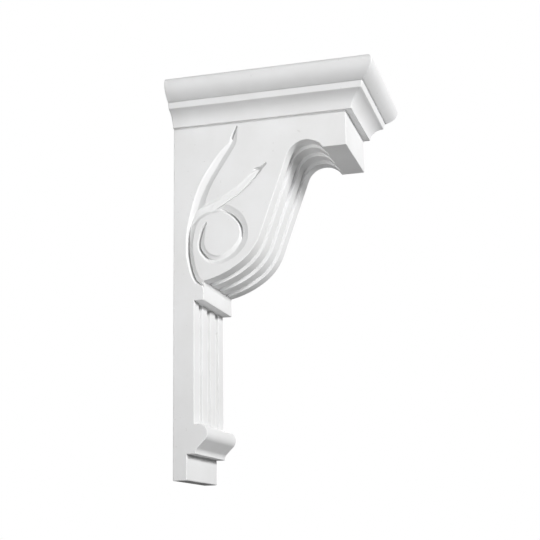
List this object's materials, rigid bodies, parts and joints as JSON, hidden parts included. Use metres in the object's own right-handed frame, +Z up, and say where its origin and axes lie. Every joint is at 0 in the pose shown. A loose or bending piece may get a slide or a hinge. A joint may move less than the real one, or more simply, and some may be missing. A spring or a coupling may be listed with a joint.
{
  "type": "decorative bracket",
  "caption": "Scrolled wall bracket with a fluted front, a mitred crown moulding and a vine scroll sunk in each side, fixed flat to a wall under a shelf, mantel or eave.",
  "frame": {"origin": "on the flat back, on the plane of symmetry, 165 mm above the foot, near the middle of the wall face", "axes": "+Z up, +Y out of the back into the wall, X across the width; the front faces -Y"},
  "size_m": [0.1252, 0.1736, 0.3267],
  "materials": {
    "white_primer": "smooth white primer, low sheen"
  },
  "bodies": {
    "root": {"bracket": "white_primer"}
  },
  "joints": []
}
